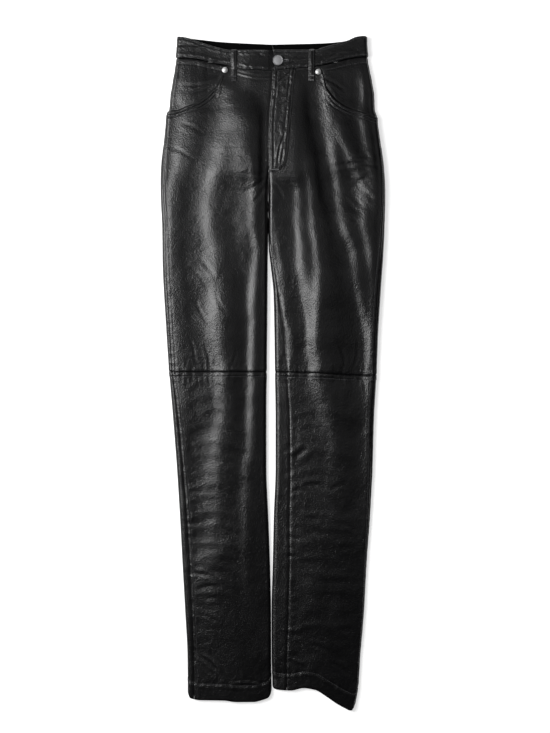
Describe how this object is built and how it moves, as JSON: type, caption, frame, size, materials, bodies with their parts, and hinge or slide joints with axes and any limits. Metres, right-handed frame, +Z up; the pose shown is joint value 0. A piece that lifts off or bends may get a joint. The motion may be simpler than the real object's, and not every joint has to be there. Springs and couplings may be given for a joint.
{
  "type": "leather trousers",
  "caption": "Straight-leg black leather trousers laid flat with the waist button done up, slanted hip pockets, belt loops and knee seams.",
  "frame": {"origin": "centre of the footprint of the trousers on the surface they lie on", "axes": "+X to the right as seen from above, +Y from hem to waist, +Z up off the surface"},
  "size_m": [0.371, 1.1128, 0.0297],
  "materials": {
    "leather": "glossy black nappa, with soft creases and a fine grain",
    "tape": "black woven zip tape",
    "hardware": "satin grey metal"
  },
  "bodies": {
    "root": {"front_thigh_left": "leather", "front_thigh_right": "leather", "front_shin_left": "leather", "front_shin_right": "leather", "back_thigh_left": "leather", "back_thigh_right": "leather", "back_shin_left": "leather", "back_shin_right": "leather", "pocket_facing_left": "leather", "pocket_facing_right": "leather", "waistband_left": "leather", "waistband_right": "leather", "fly_facing": "leather", "belt_loop_front_left": "leather", "belt_loop_front_right": "leather", "belt_loop_back_left": "leather", "belt_loop_back_right": "leather", "belt_loop_back_centre": "leather", "fly_zip": "tape", "button": "hardware", "rivet_left": "hardware", "rivet_right": "hardware"}
  },
  "joints": []
}
